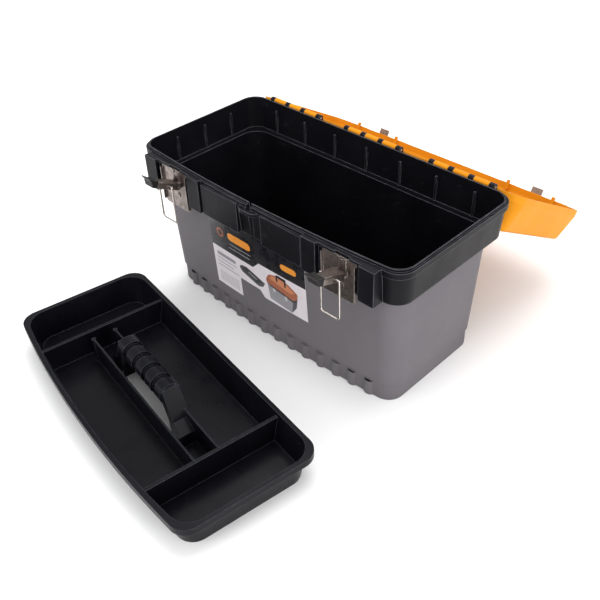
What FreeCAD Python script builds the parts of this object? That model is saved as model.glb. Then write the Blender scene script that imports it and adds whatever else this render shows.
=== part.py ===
import FreeCAD, Part
import math
import operator
import os
import Sketcher

# A plastic toolbox with a hinged lid, two steel draw latches and a lift-out tray.
# Millimetres. X runs along the hinge, +Y points to the hinge side, +Z up. The origin is on the
# floor under the middle of the box. The lid is open on its stop and the tray stands in front.

SIZES = [
    ("box_length", 410.0, "length over the rim"),
    ("box_depth", 192.6, "depth over the rim at the corners"),
    ("flange_top", 196.5, "height of the rim flange that the lid sits on"),
    ("collar_bottom", 154.6, "height of the underside of the collar"),
    ("plinth_height", 23.3, "height of the fluted plinth"),
    ("front_bow", 9.0, "how far the front bows out at its middle"),
    ("corner_radius", 20.0, "plan radius of the upright corners"),
    ("bead_height", 7.0, "height of the rim bead"),
    ("bead_proud", 1.2, "how far the rim bead stands proud of the collar"),
    ("collar_lean", 2.6, "how far the collar leans in from bead to underside"),
    ("ledge_inset", 12.4, "inset of the wall just under the collar"),
    ("wall_lean", 6.5, "how far the wall leans in from collar to plinth"),
    ("plinth_step", 1.2, "step in from wall to plinth"),
    ("collar_wall", 2.5, "wall thickness of the collar"),
    ("box_wall", 2.5, "wall thickness below the collar"),
    ("box_floor", 3.0, "floor thickness"),
    ("ledge_thickness", 3.0, "thickness of the ledge that carries the tray"),
    ("lip_height", 3.0, "height of the locating lip above the flange"),
    ("lip_thickness", 1.3, "thickness of the locating lip"),
    ("latch_x", 131.0, "distance of each latch plate from the middle"),
    ("lever_shift", 4.0, "how far right of its plate each lever sits"),
    ("bay_width", 58.0, "width of the recess that holds a latch"),
    ("block_width", 20.0, "width of the block on each side of a latch"),
    ("bay_proud", 0.2, "floor of a latch bay in front of the rim beside the plate"),
    ("block_proud", 6.0, "how far the latch blocks stand in front of the bay floor"),
    ("panel_proud", 1.7, "how far the two centre panels stand in front of the rim"),
    ("panel_start", 19.0, "inner end of a centre panel"),
    ("panel_end", 79.0, "outer end of a centre panel"),
    ("panel_drop", 4.0, "how far the centre panels stop below the flange"),
    ("ear_gap", 20.0, "gap between the two guard ears over a latch plate"),
    ("ear_proud", 2.5, "how far a guard ear stands in front of the bay floor"),
    ("ear_thickness", 3.0, "thickness of a guard ear"),
    ("flute_count", 14.0, "number of ribs on the front of the plinth"),
    ("flute_pitch", 23.5, "distance between plinth ribs"),
    ("flute_radius", 7.5, "radius of a plinth rib"),
    ("flute_proud", 3.2, "how far a plinth rib stands proud"),
    ("flute_gap", 3.5, "gap between a rib's top and the top of the plinth"),
    ("guide_proud", 1.2, "how far the guide ribs inside the collar stand proud"),
    ("guide_width", 2.4, "width of a guide rib"),
    ("guide_pitch", 52.5, "distance between guide ribs on the back"),
    ("guide_end_pitch", 45.0, "distance between guide ribs on an end"),
    ("eye_reach", 9.0, "how far the padlock eye stands out of the notch"),
    ("eye_width", 30.0, "width of the padlock eye"),
    ("eye_hole", 4.0, "radius of the padlock eye's hole"),
    ("eye_edge", 2.4, "padlock eye's hole behind the middle of the eye's reach"),
    ("eye_thickness", 4.0, "thickness of the padlock eye"),
    ("hinge_gap", 0.9, "clearance round the knuckles"),
    ("knuckle_radius", 4.0, "outer radius of the hinge knuckles"),
    ("knuckle_width", 7.0, "width of a knuckle of the box"),
    ("knuckle_pitch", 27.4, "distance between knuckles of the box"),
    ("knuckle_clearance", 0.4, "end clearance between knuckles"),
    ("hinge_spread", 131.0, "distance from the middle hinge to the outer ones"),
    ("hinge_pin_radius", 1.5, "radius of the hinge pins"),
    ("running_fit", 0.06, "radial clearance of a pin that turns"),
    ("lid_height", 44.0, "height of the lid from flange to roof"),
    ("lid_lean", 10.5, "how far the lid's walls lean in to the roof"),
    ("lid_wall", 2.0, "wall thickness of the lid"),
    ("lid_skirt", 8.0, "height of the lid's upright skirt"),
    ("lid_round", 6.0, "radius along the edge of the lid's roof"),
    ("lid_block_height", 24.0, "height of the blocks beside the keepers"),
    ("lid_seat_gap", 0.4, "gap between the closed lid and the flange"),
    ("lid_opening", 210.0, "angle that the lid opens to its stop"),
    ("recess_length", 142.0, "length of the recess for the carrying handle"),
    ("recess_width", 62.0, "width of the recess for the carrying handle"),
    ("recess_depth", 15.0, "depth of the recess for the carrying handle"),
    ("recess_offset", 2.0, "how far the recess sits in front of the lid's middle"),
    ("handle_length", 136.0, "length of the carrying handle"),
    ("handle_reach", 38.0, "pivot to middle of the grip"),
    ("handle_bar", 6.5, "radius of the grip"),
    ("handle_arm", 10.0, "width of a handle arm"),
    ("handle_pin_radius", 2.5, "radius of the handle pins"),
    ("handle_pin_reach", 78.0, "handle pin's outer end from the middle"),
    ("handle_pivot_inset", 12.0, "handle pivot from the back of the recess"),
    ("handle_lean", 30.0, "lean of the hanging handle from upright"),
    ("plate_width", 46.0, "width of a latch plate"),
    ("plate_height", 51.0, "height of a latch plate"),
    ("plate_thickness", 1.2, "thickness of the latch metal"),
    ("plate_edge", 3.0, "depth of the turned edges of a latch plate"),
    ("plate_corner", 4.0, "corner radius of a latch plate"),
    ("plate_drop", 0.5, "gap between the plate's top and the ears"),
    ("plate_rivet_inset", 5.0, "latch rivets from the plate's top and the collar's underside"),
    ("rivet_setback", 1.0, "how far a latch rivet stops short of the inside"),
    ("plate_rib_offset", 3.2, "inner side of a plate rib from the latch's middle"),
    ("plate_rib_width", 2.5, "width of a plate rib"),
    ("plate_rib_height", 14.0, "height of a plate rib"),
    ("pivot_drop", 21.5, "lever pivot below the flange"),
    ("pivot_stand", 4.5, "lever pivot in front of the plate"),
    ("pivot_pin_radius", 1.5, "radius of a lever pin"),
    ("lug_offset", 5.9, "inner face of a plate lug from the latch's middle"),
    ("lug_radius", 2.9, "radius round the pivot of a plate lug"),
    ("lever_width", 18.0, "width of a lever at its root"),
    ("lever_tip_width", 13.5, "width of a lever at its tip"),
    ("lever_length", 31.0, "pivot to the end of the lever's channel"),
    ("lever_root", 0.5, "pivot to the root of the lever's web"),
    ("lever_eye", 3.1, "radius of the lever round its pivot"),
    ("lever_web", 4.5, "pivot to the outside of the lever's web"),
    ("lever_depth", 8.0, "depth of the lever's channel"),
    ("lever_round", 2.2, "radius along the lever's outer edges"),
    ("pin_end", 0.2, "how far a lever pin stands out of the lever"),
    ("tongue_length", 7.0, "length of the lever's tongue in its cap"),
    ("tongue_width", 9.0, "width of the lever's tongue"),
    ("cap_length", 10.0, "length of a lever cap"),
    ("cap_lip", 4.0, "length of the flared lip of a lever cap"),
    ("cap_depth", 8.5, "depth of a lever cap"),
    ("cap_wall", 1.0, "how far a cap stands outside its lever"),
    ("left_lift", 26.0, "angle of the left lever above level"),
    ("right_lift", 16.0, "angle of the right lever above level"),
    ("bail_offset", 14.0, "lever pivot to bail pivot"),
    ("bail_length", 48.5, "bail pivot to the far wire of the bail"),
    ("bail_half_width", 12.6, "middle of the latch to a side wire"),
    ("bail_wire", 1.1, "radius of the bail wire"),
    ("bail_bend", 3.5, "bend radius of the bail"),
    ("bail_leg", 6.3, "length of the bail's turned-in ends"),
    ("keeper_width", 16.0, "width of a keeper"),
    ("keeper_tongue", 8.0, "how far a keeper reaches below the lid's rim"),
    ("keeper_lip", 4.0, "height of the keeper's hook lip"),
    ("keeper_height", 24.0, "how far a keeper reaches up the lid from its rim"),
    ("keeper_gap", 1.6, "gap between a keeper's tongue and the latch plate"),
    ("keeper_slack", 0.5, "gap between the closed bail and the keeper"),
    ("keeper_pad_width", 24.0, "width of the pad that a keeper is riveted to"),
    ("keeper_rivet_low", 4.5, "lower rivet of a keeper above the lid's rim"),
    ("keeper_rivet_high", 19.0, "upper rivet of a keeper above the lid's rim"),
    ("peg_offset", 34.5, "distance of a locating peg from the latch's middle"),
    ("peg_width", 4.0, "width of a locating peg"),
    ("peg_depth", 3.0, "thickness of a locating peg"),
    ("peg_reach", 4.5, "how far a locating peg reaches below the lid's rim"),
    ("peg_gap", 0.8, "gap between a locating peg and the lip"),
    ("keeper_shank", 5.0, "length of a keeper rivet's shank behind the keeper"),
    ("rivet_radius", 1.5, "radius of a rivet's shank"),
    ("rivet_head", 2.8, "radius of a rivet's head"),
    ("rivet_height", 0.9, "height of a rivet's head"),
    ("label_thickness", 0.3, "thickness of the front label"),
    ("label_left", 93.0, "label's left edge from the middle"),
    ("label_right", 68.0, "label's right edge from the middle"),
    ("label_low", 39.5, "height of the label's lowest edge"),
    ("label_step", 68.5, "height of the label's middle edge"),
    ("label_high", 60.0, "height of the label's right lower edge"),
    ("label_top", 151.0, "height of the label's top edge"),
    ("label_panel_end", 45.0, "end of the label's low panel, left of the middle"),
    ("label_slope_start", 9.5, "start of the label's slope, left of the middle"),
    ("label_slope_end", 2.0, "end of the label's slope, left of the middle"),
    ("tray_length", 393.5, "length of the tray over its rim"),
    ("tray_depth", 161.0, "depth of the tray over its rim at the corners"),
    ("tray_bow", 13.2, "how far the tray's front bows out"),
    ("tray_height", 38.0, "height of the tray"),
    ("tray_radius", 20.0, "plan radius of the tray's corners"),
    ("tray_skirt", 8.0, "height of the tray's turned-down rim"),
    ("tray_flange", 3.0, "inset from rim to body of the tray"),
    ("tray_lean", 7.0, "how far the tray's walls lean in to the floor"),
    ("tray_wall", 2.0, "wall thickness of the tray"),
    ("tray_floor", 2.0, "floor thickness of the tray"),
    ("divider_x", 126.0, "distance of the tray's dividers from its middle"),
    ("divider_width", 4.0, "width of a divider"),
    ("divider_drop", 4.5, "drop from the rim to a divider's top"),
    ("trough_middle", 11.0, "trough's middle in front of the tray's middle"),
    ("trough_width", 30.0, "width of the trough over its walls"),
    ("trough_start", 108.0, "left end of the trough from the middle"),
    ("trough_drop", 3.0, "drop from the rim to the trough's walls"),
    ("post_radius", 2.6, "radius of the posts at the trough's left end"),
    ("grip_middle", 5.0, "middle of the tray's handle, left of the tray's middle"),
    ("grip_offset", 7.0, "how far behind the trough's middle the grip stands"),
    ("grip_half", 47.0, "half length of the grip"),
    ("grip_height", 51.0, "height of the middle of the grip"),
    ("grip_radius", 10.0, "radius of the grip's core"),
    ("lobe_radius", 13.0, "radius of the grip's lobes"),
    ("lobe_width", 13.0, "width of a grip lobe"),
    ("lobe_pitch", 21.5, "distance between grip lobes"),
    ("leg_spread", 66.0, "middle of the grip to the foot of a leg"),
    ("leg_thickness", 9.0, "thickness of a leg"),
    ("leg_step", 2.5, "step at the foot of a leg's slope"),
    ("leg_toe", 16.0, "length of a leg's toe"),
    ("leg_shoulder", 29.0, "height of the foot of a leg's slope"),
    ("slot_half", 68.0, "half length of the slot in the floor under the grip"),
    ("tray_x", -9.2, "tray's middle along X"),
    ("tray_y", -251.1, "tray's middle along Y"),
    ("tray_turn", -9.0, "angle of the tray about Z"),
]

os.makedirs("parts", exist_ok=True)
doc = FreeCAD.newDocument("Toolbox")
sheet = doc.addObject("Spreadsheet::Sheet", "Sizes")
for row, (alias, number, meaning) in enumerate(SIZES, start=1):
    sheet.set(f"A{row}", meaning)
    sheet.set(f"B{row}", str(number))
    sheet.setAlias(f"B{row}", alias)
doc.recompute()

SIGNS = {"+": operator.add, "-": operator.sub, "*": operator.mul, "/": operator.truediv}


class Measure:
    """A size as a number, with the sheet expression that gives the same number."""

    def __init__(self, value, text):
        self.value = value
        self.text = text

    def __add__(self, other):
        return combine(self, "+", other)

    def __radd__(self, other):
        return combine(other, "+", self)

    def __sub__(self, other):
        return combine(self, "-", other)

    def __rsub__(self, other):
        return combine(other, "-", self)

    def __mul__(self, other):
        return combine(self, "*", other)

    def __rmul__(self, other):
        return combine(other, "*", self)

    def __truediv__(self, other):
        return combine(self, "/", other)

    def __neg__(self):
        return combine(0, "-", self)


def measure(number):
    """A plain number as a Measure; a Measure as it is."""
    if isinstance(number, Measure):
        return number
    return Measure(float(number), f"({float(number):.6f})")


def combine(left, sign, right):
    """The Measure of left and right joined by an arithmetic sign."""
    left = measure(left)
    right = measure(right)
    return Measure(SIGNS[sign](left.value, right.value), f"({left.text} {sign} {right.text})")


def size(alias):
    """The named cell of the sheet."""
    return Measure(float(sheet.get(alias)), f"Sizes.{alias}")


def root(number):
    """Square root of a Measure."""
    return Measure(math.sqrt(number.value), f"sqrt({number.text})")


def slope(run, rise):
    """Angle whose tangent is run over rise, in degrees."""
    text = f"atan({run.text} / {rise.text})"
    return Measure(math.degrees(math.atan2(run.value, rise.value)), text)


def bind(item, **sizes):
    """Bind properties of an object to Measures."""
    for name, number in sizes.items():
        item.setExpression(name, measure(number).text)


def settle(item, x, y, z):
    """Bind an object's place to three Measures."""
    for axis, number in zip("xyz", (x, y, z)):
        item.setExpression(f"Placement.Base.{axis}", measure(number).text)


# ---- plain solids -------------------------------------------------------------------------

def box(name, x0, x1, y0, y1, z0, z1):
    """A box between three pairs of Measures."""
    x0, x1, y0, y1, z0, z1 = [measure(number) for number in (x0, x1, y0, y1, z0, z1)]
    item = doc.addObject("Part::Box", name)
    bind(item, Length=x1 - x0, Width=y1 - y0, Height=z1 - z0)
    settle(item, x0, y0, z0)
    return item


TURNS = {
    "X": FreeCAD.Rotation(FreeCAD.Vector(0, 1, 0), 90),
    "Y": FreeCAD.Rotation(FreeCAD.Vector(1, 0, 0), -90),
    "Z": FreeCAD.Rotation(),
}


def rod(name, axis, radius, length, x, y, z):
    """A cylinder that starts at x, y, z and runs along a row axis."""
    item = doc.addObject("Part::Cylinder", name)
    item.Placement.Rotation = TURNS[axis]
    bind(item, Radius=radius, Height=length)
    settle(item, x, y, z)
    return item


def fuse(name, pieces):
    """One solid of several."""
    item = doc.addObject("Part::MultiFuse", name)
    item.Shapes = pieces
    return item


def cut(name, base, tool):
    """The base without the tool."""
    item = doc.addObject("Part::Cut", name)
    item.Base = base
    item.Tool = tool
    return item


def group(name, pieces):
    """Several separate solids in one object."""
    item = doc.addObject("Part::Compound", name)
    item.Links = pieces
    return item


# ---- sketches -----------------------------------------------------------------------------

def new_body(name):
    return doc.addObject("PartDesign::Body", name)


def new_sketch(body, name, role, offset):
    """A sketch on one of the body's own origin planes, lifted off it by a Measure."""
    sketch = body.newObject("Sketcher::SketchObject", name)
    planes = [plane for plane in body.Origin.OriginFeatures if plane.Role == role]
    sketch.AttachmentSupport = (planes[0], "")
    sketch.MapMode = "FlatFace"
    sketch.setExpression("AttachmentOffset.Base.z", measure(offset).text)
    return sketch


def dimension(sketch, name, kind, references, number):
    """Add a dimension to a sketch and bind it to a Measure."""
    number = measure(number)
    index = sketch.addConstraint(Sketcher.Constraint(kind, *references, number.value))
    sketch.renameConstraint(index, name)
    sketch.setExpression(f"Constraints.{name}", number.text)


def polygon(body, name, role, offset, points):
    """A closed sketch of straight lines through points given as pairs of Measures."""
    sketch = new_sketch(body, name, role, offset)
    points = [(measure(u), measure(v)) for u, v in points]
    count = len(points)
    spots = [FreeCAD.Vector(u.value, v.value, 0) for u, v in points]
    for index in range(count):
        sketch.addGeometry(Part.LineSegment(spots[index], spots[(index + 1) % count]), False)
    for index in range(count):
        sketch.addConstraint(Sketcher.Constraint("Coincident", index, 2, (index + 1) % count, 1))
    for index, (u, v) in enumerate(points):
        dimension(sketch, f"u{index}", "DistanceX", (-1, 1, index, 1), u)
        dimension(sketch, f"v{index}", "DistanceY", (-1, 1, index, 1), v)
    return sketch


def outline(body, name, level, half, back, front, bow, radius):
    """A closed outline, the same on both sides of Y: straight back and ends, a front that bows
    out by bow, and round corners. half, back and front are distances from the origin."""
    sketch = new_sketch(body, name, "XY_Plane", level)
    bow_radius = (half * half + bow * bow) / (2 * bow)
    bow_centre = bow_radius - front - bow
    corner_x = half - radius
    inner = bow_radius - radius
    corner_y = bow_centre - root(inner * inner - corner_x * corner_x)
    hx, yb, cx, cy, r = [n.value for n in (half, back, corner_x, corner_y, radius)]
    lean = math.atan2(cy - bow_centre.value, cx)
    vector = FreeCAD.Vector
    quarter = math.pi / 2

    def arc(x, y, r, start, end):
        return Part.ArcOfCircle(Part.Circle(vector(x, y, 0), vector(0, 0, 1), r), start, end)

    shapes = [
        Part.LineSegment(vector(cx, yb, 0), vector(-cx, yb, 0)),
        arc(-cx, yb - r, r, quarter, 2 * quarter),
        Part.LineSegment(vector(-hx, yb - r, 0), vector(-hx, cy, 0)),
        arc(-cx, cy, r, 2 * quarter, 2 * quarter - lean),
        arc(0, bow_centre.value, bow_radius.value, 2 * quarter - lean, 4 * quarter + lean),
        arc(cx, cy, r, lean, 0),
        Part.LineSegment(vector(hx, cy, 0), vector(hx, yb - r, 0)),
        arc(cx, yb - r, r, 0, quarter),
    ]
    sketch.addGeometry(shapes, False)
    for index in range(8):
        sketch.addConstraint(Sketcher.Constraint("Tangent", index, 2, (index + 1) % 8, 1))
    sketch.addConstraint(Sketcher.Constraint("Horizontal", 0))
    sketch.addConstraint(Sketcher.Constraint("Vertical", 2))
    sketch.addConstraint(Sketcher.Constraint("Vertical", 6))
    for index in (3, 5, 7):
        sketch.addConstraint(Sketcher.Constraint("Equal", 1, index))
    sketch.addConstraint(Sketcher.Constraint("PointOnObject", 4, 3, -2))
    dimension(sketch, "radius", "Radius", (1,), radius)
    dimension(sketch, "back", "DistanceY", (-1, 1, 0, 1), back)
    dimension(sketch, "left", "DistanceX", (2, 1, -1, 1), half)
    dimension(sketch, "right", "DistanceX", (-1, 1, 6, 1), half)
    dimension(sketch, "bow_radius", "Radius", (4,), bow_radius)
    dimension(sketch, "bow_centre", "DistanceY", (-1, 1, 4, 3), bow_centre)
    return sketch


def pad(body, sketch, length, lean=None):
    """Extrude a sketch; lean is how far its sides move out over the length."""
    item = body.newObject("PartDesign::Pad", f"{sketch.Name}_pad")
    item.Profile = sketch
    bind(item, Length=length)
    if lean is not None:
        bind(item, TaperAngle=slope(measure(lean), measure(length)))
    return item


def drawn_solid(name, role, offset, points, length):
    """A body of one padded polygon."""
    body = new_body(name)
    pad(body, polygon(body, f"{name}_sketch", role, offset, points), length)
    return body


def round_edges(name, base, radius, chosen):
    """The base with the edges that chosen(edge) picks rounded."""
    doc.recompute()
    item = doc.addObject("Part::Fillet", name)
    item.Base = base
    numbered = enumerate(base.Shape.Edges, start=1)
    reach = radius.value
    item.Edges = [(number, reach, reach) for number, edge in numbered if chosen(edge)]
    return item


def along(edge, axis):
    """Whether a straight edge runs along a row axis."""
    if edge.Curve.TypeId != "Part::GeomLine":
        return False
    return abs(getattr(edge.tangentAt(edge.FirstParameter), axis)) > 0.99


def finish(item, label, placement=None):
    """Give a sub-part its label and, where it isn't modelled in place, its placement."""
    item.Label = label
    if placement is not None:
        item.Placement = placement.multiply(item.Placement)
    sub_parts.append(item)


sub_parts = []
half_length = size("box_length") / 2
half_depth = size("box_depth") / 2
flange_top = size("flange_top")
collar_bottom = size("collar_bottom")
lid_rim = flange_top + size("lid_seat_gap")
hinge_y = half_depth + size("hinge_gap") + size("knuckle_radius")
hinge_z = lid_rim
metal = size("plate_thickness")
pivot_z = flange_top - size("pivot_drop")
hinge_middles = (-size("hinge_spread"), measure(0), size("hinge_spread"))


def box_outline(body, name, level, inset, wall=0):
    """An outline of the box, inset all round; wall is taken off the corner radius too."""
    back = half_depth - inset
    radius = size("corner_radius") - wall
    return outline(body, name, level, half_length - inset, back, back, size("front_bow"), radius)


def front_at(x, inset):
    """How far forward an outline of the box stands at a distance x from the middle."""
    bow = size("front_bow")
    share = measure(x) / (half_length - inset)
    return half_depth - inset + bow * (1 - share * share)


bay_front = front_at(size("latch_x") - size("plate_width") / 2, 0) + size("bay_proud")
block_front = bay_front + size("block_proud")
panel_front = half_depth + size("front_bow") + size("panel_proud")
plate_front = bay_front + metal
pivot_front = plate_front + size("pivot_stand")


# ---- box ----------------------------------------------------------------------------------

plinth_inset = size("ledge_inset") + size("wall_lean") + size("plinth_step")
wall_foot_inset = size("ledge_inset") + size("wall_lean")
collar_inset = size("bead_proud") + size("collar_lean")
rim_inner_inset = size("bead_proud") + size("collar_wall")


def box_outside():
    """Plinth, wall, collar, rim bead and lip as one solid block."""
    body = new_body("box_outside")
    plinth = size("plinth_height")
    bead = flange_top - size("bead_height")
    lip_inset = rim_inner_inset - size("lip_thickness")
    pad(body, box_outline(body, "plinth", 0, plinth_inset), plinth)
    wall = box_outline(body, "wall", plinth, wall_foot_inset)
    pad(body, wall, collar_bottom - plinth, size("wall_lean"))
    collar = box_outline(body, "collar", collar_bottom, collar_inset)
    pad(body, collar, bead - collar_bottom, size("collar_lean"))
    pad(body, box_outline(body, "bead", bead, measure(0)), size("bead_height"))
    pad(body, box_outline(body, "lip", flange_top, lip_inset), size("lip_height"))
    return body


def box_inside():
    """The space inside the wall and inside the collar."""
    body = new_body("box_inside")
    floor = size("box_floor")
    ledge = collar_bottom + size("ledge_thickness")
    foot = wall_foot_inset + size("box_wall")
    lower = box_outline(body, "lower_space", floor, foot, size("box_wall"))
    pad(body, lower, ledge - floor, size("wall_lean"))
    top = flange_top + size("lip_height")
    ledge_inset = rim_inner_inset + size("collar_lean")
    upper = box_outline(body, "upper_space", ledge, ledge_inset, size("collar_wall"))
    pad(body, upper, top - ledge, size("collar_lean"))
    return body


def mirrored_boxes(name, x0, x1, y0, y1, z0, z1):
    """A box and its mirror image across the middle of the toolbox."""
    right = box(f"{name}_right", x0, x1, y0, y1, z0, z1)
    left = box(f"{name}_left", -x1, -x0, y0, y1, z0, z1)
    return [left, right]


latches = [("left", -size("latch_x"), size("lever_shift") - size("latch_x")),
           ("right", size("latch_x"), size("latch_x") + size("lever_shift"))]


def front_relief():
    """Latch blocks, bay floors, guard ears and centre panels on the front of the collar."""
    backing = -half_depth + rim_inner_inset
    bay_start = size("latch_x") - size("bay_width") / 2
    bay_end = size("latch_x") + size("bay_width") / 2
    width = size("block_width")
    front = -block_front
    ear_low = flange_top - size("ear_thickness")
    gap = size("ear_gap") / 2
    panel_top = flange_top - size("panel_drop")
    panel = (size("panel_start"), size("panel_end"))
    pieces = mirrored_boxes("inner_block", bay_start - width, bay_start, front, backing,
                            collar_bottom, flange_top)
    pieces += mirrored_boxes("outer_block", bay_end, bay_end + width, front, backing,
                             collar_bottom, flange_top)
    pieces += mirrored_boxes("bay_floor", bay_start, bay_end, -bay_front, backing,
                             collar_bottom, flange_top)
    half_bay = size("bay_width") / 2
    for side, x, middle in latches:
        for name, x0, x1 in (("left", x - half_bay, middle - gap),
                             ("right", middle + gap, x + half_bay)):
            pieces.append(box(f"{name}_ear_{side}", x0, x1, -bay_front - size("ear_proud"), backing,
                              ear_low, flange_top))
    pieces += mirrored_boxes("centre_panel", *panel, -panel_front, backing,
                             collar_bottom, panel_top)
    return pieces


def padlock_eye():
    """A tab with a hole that stands out of the notch between the centre panels."""
    top = flange_top - size("panel_drop")
    wide = size("eye_width") / 2
    front = -panel_front - size("eye_reach") / 2
    tab = box("eye_tab", -wide, wide, front, -half_depth, top - size("eye_thickness"), top)
    return round_edges("eye_rounded", tab, size("eye_reach"), lambda edge: along(edge, "z") and
                       edge.BoundBox.YMax < front.value + size("eye_reach").value / 2)


def flutes():
    """Upright half-round ribs along the bowed front of the plinth."""
    ribs = []
    count = int(size("flute_count").value)
    height = size("plinth_height") - size("flute_gap")
    depth = size("flute_radius") - size("flute_proud")
    for index in range(count):
        x = (index - (count - 1) / 2) * size("flute_pitch")
        y = depth - front_at(x, plinth_inset)
        ribs.append(rod(f"flute_{index}", "Z", size("flute_radius"), height, x, y, 0))
    return ribs


def guide_ribs():
    """Upright ribs inside the collar, from the ledge to below the rim."""
    low = collar_bottom + size("ledge_thickness")
    high = flange_top - size("bead_height")
    wide = size("guide_width") / 2
    proud = size("guide_proud")
    depth = half_depth - rim_inner_inset
    reach = half_length - rim_inner_inset
    over = size("collar_wall") / 2
    inner = size("collar_lean")
    ribs = []
    for index in range(-3, 4):
        x = index * size("guide_pitch")
        ribs.append(box(f"back_guide_{index + 3}", x - wide, x + wide, depth - inner - proud,
                        depth + over - inner, low, high))
    for index in range(-1, 2):
        y = index * size("guide_end_pitch")
        ribs += mirrored_boxes(f"end_guide_{index + 1}", reach - inner - proud,
                               reach + over - inner, y - wide, y + wide, low, high)
    return ribs


def base_knuckles():
    """Four knuckles for each hinge pin, with webs to the rim."""
    radius = size("knuckle_radius")
    wide = size("knuckle_width")
    pieces = []
    for hinge, middle in enumerate(hinge_middles):
        for index in range(4):
            x = middle + (index - 1.5) * size("knuckle_pitch") - wide / 2
            name = f"{hinge}_{index}"
            pieces.append(rod(f"box_knuckle_{name}", "X", radius, wide, x, hinge_y, hinge_z))
            pieces.append(box(f"box_web_{name}", x, x + wide, half_depth - size("bead_proud"),
                              hinge_y, hinge_z - radius, flange_top))
    return pieces


def hinge_rods(name, extra):
    """Three rods along the hinge line, as wide as the pins plus extra all round."""
    span = 3 * size("knuckle_pitch") + size("knuckle_width")
    radius = size("hinge_pin_radius") + extra
    return [rod(f"{name}_{index}", "X", radius, span, middle - span / 2, hinge_y, hinge_z)
            for index, middle in enumerate(hinge_middles)]


def latch_rivet_rods(name, radius, y0, y1):
    """Rods through both latch plates, above and below the levers' pivots."""
    rods = []
    for side, _, middle in latches:
        for place, z in (("high", plate_rivet_high), ("low", plate_rivet_low)):
            rods.append(rod(f"{name}_{side}_{place}", "Y", radius, y1 - y0, middle, y0, z))
    return rods


plate_top = flange_top - size("ear_thickness") - size("plate_drop")
plate_rivet_high = plate_top - size("plate_rivet_inset")
plate_rivet_low = collar_bottom + size("plate_rivet_inset")
rivet_back = -front_at(size("latch_x"), rim_inner_inset) + size("rivet_setback")


def build_box():
    outside = fuse("box_block", [box_outside(), *front_relief(), padlock_eye(), *flutes()])
    shell = cut("box_shell", outside, box_inside())
    whole = fuse("box_with_fittings", [shell, *guide_ribs(), *base_knuckles()])
    eye_y = -panel_front - size("eye_reach") / 2 + size("eye_hole") + size("eye_edge")
    eye = rod("eye_bore", "Z", size("eye_hole"), flange_top, 0, eye_y, collar_bottom)
    holes = hinge_rods("box_pin_bore", 0)
    holes += latch_rivet_rods("box_rivet_bore", size("rivet_radius"), -plate_front, rivet_back)
    finish(cut("box_moulding", whole, group("box_bores", [eye, *holes])), "base_shell")
    for name, pin in zip(("left", "middle", "right"), hinge_rods("hinge_pin", 0)):
        finish(pin, f"hinge_pin_{name}")


# ---- lid, drawn closed and then turned open -------------------------------------------------

def turned(angle, y, z):
    """A placement that turns about a line along X through y, z."""
    rotation = FreeCAD.Rotation(FreeCAD.Vector(1, 0, 0), angle)
    return FreeCAD.Placement(FreeCAD.Vector(), rotation, FreeCAD.Vector(0, y.value, z.value))


lid_open = turned(-size("lid_opening").value, hinge_y, hinge_z)
lid_roof = lid_rim + size("lid_height")
lid_slope_height = size("lid_height") - size("lid_skirt")
recess_front = -size("recess_offset") - size("recess_width") / 2
recess_back = recess_front + size("recess_width")
handle_y = recess_back - size("handle_pivot_inset")
handle_z = lid_roof - size("recess_depth") / 2
keeper_back = plate_front + size("keeper_gap")


def lid_block():
    body = new_body("lid_block")
    skirt = size("lid_skirt")
    pad(body, box_outline(body, "lid_skirt", lid_rim, measure(0)), skirt)
    slope_foot = box_outline(body, "lid_slope", lid_rim + skirt, measure(0))
    pad(body, slope_foot, lid_slope_height, -size("lid_lean"))
    return round_edges("lid_rounded", body, size("lid_round"), lambda edge:
                       edge.BoundBox.ZMin > lid_roof.value - 0.01)


def lid_space():
    body = new_body("lid_space")
    skirt = size("lid_skirt")
    wall = size("lid_wall")
    pad(body, box_outline(body, "skirt_space", lid_rim, wall, wall), skirt)
    height = lid_slope_height - wall
    lean = -size("lid_lean") * height / lid_slope_height
    pad(body, box_outline(body, "slope_space", lid_rim + skirt, wall, wall), height, lean)
    ceiling = lid_roof - wall
    return round_edges("lid_space_rounded", body, size("lid_round") - wall, lambda edge:
                       edge.BoundBox.ZMin > ceiling.value - 0.01)


def lid_front_relief():
    """Blocks beside the keepers, and the pads that the keepers are riveted to."""
    backing = -half_depth + rim_inner_inset
    bay_start = size("latch_x") - size("bay_width") / 2
    bay_end = size("latch_x") + size("bay_width") / 2
    width = size("block_width")
    pad_half = size("keeper_pad_width") / 2
    top = lid_rim + size("lid_block_height")
    front = -block_front
    pieces = mirrored_boxes("lid_inner_block", bay_start - width, bay_start, front, backing,
                            lid_rim, top)
    pieces += mirrored_boxes("lid_outer_block", bay_end, bay_end + width, front, backing,
                             lid_rim, top)
    for side, _, middle in latches:
        pieces.append(box(f"keeper_pad_{side}", middle - pad_half, middle + pad_half, -keeper_back,
                          backing, lid_rim, lid_rim + size("keeper_height")))
    return pieces


def recess_tub():
    """The walls and floor round the recess for the carrying handle."""
    wall = size("lid_wall")
    half = size("recess_length") / 2 + wall
    low = lid_roof - size("recess_depth") - wall
    tub = box("recess_tub", -half, half, recess_front - wall, recess_back + wall, low,
              lid_roof - wall / 2)
    boss = size("handle_pin_radius") + wall
    reach = size("handle_pin_reach") - size("recess_length") / 2
    left = rod("left_boss", "X", boss, reach, -size("handle_pin_reach"), handle_y, handle_z)
    right = rod("right_boss", "X", boss, reach, size("recess_length") / 2, handle_y, handle_z)
    return [tub, left, right]


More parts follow.
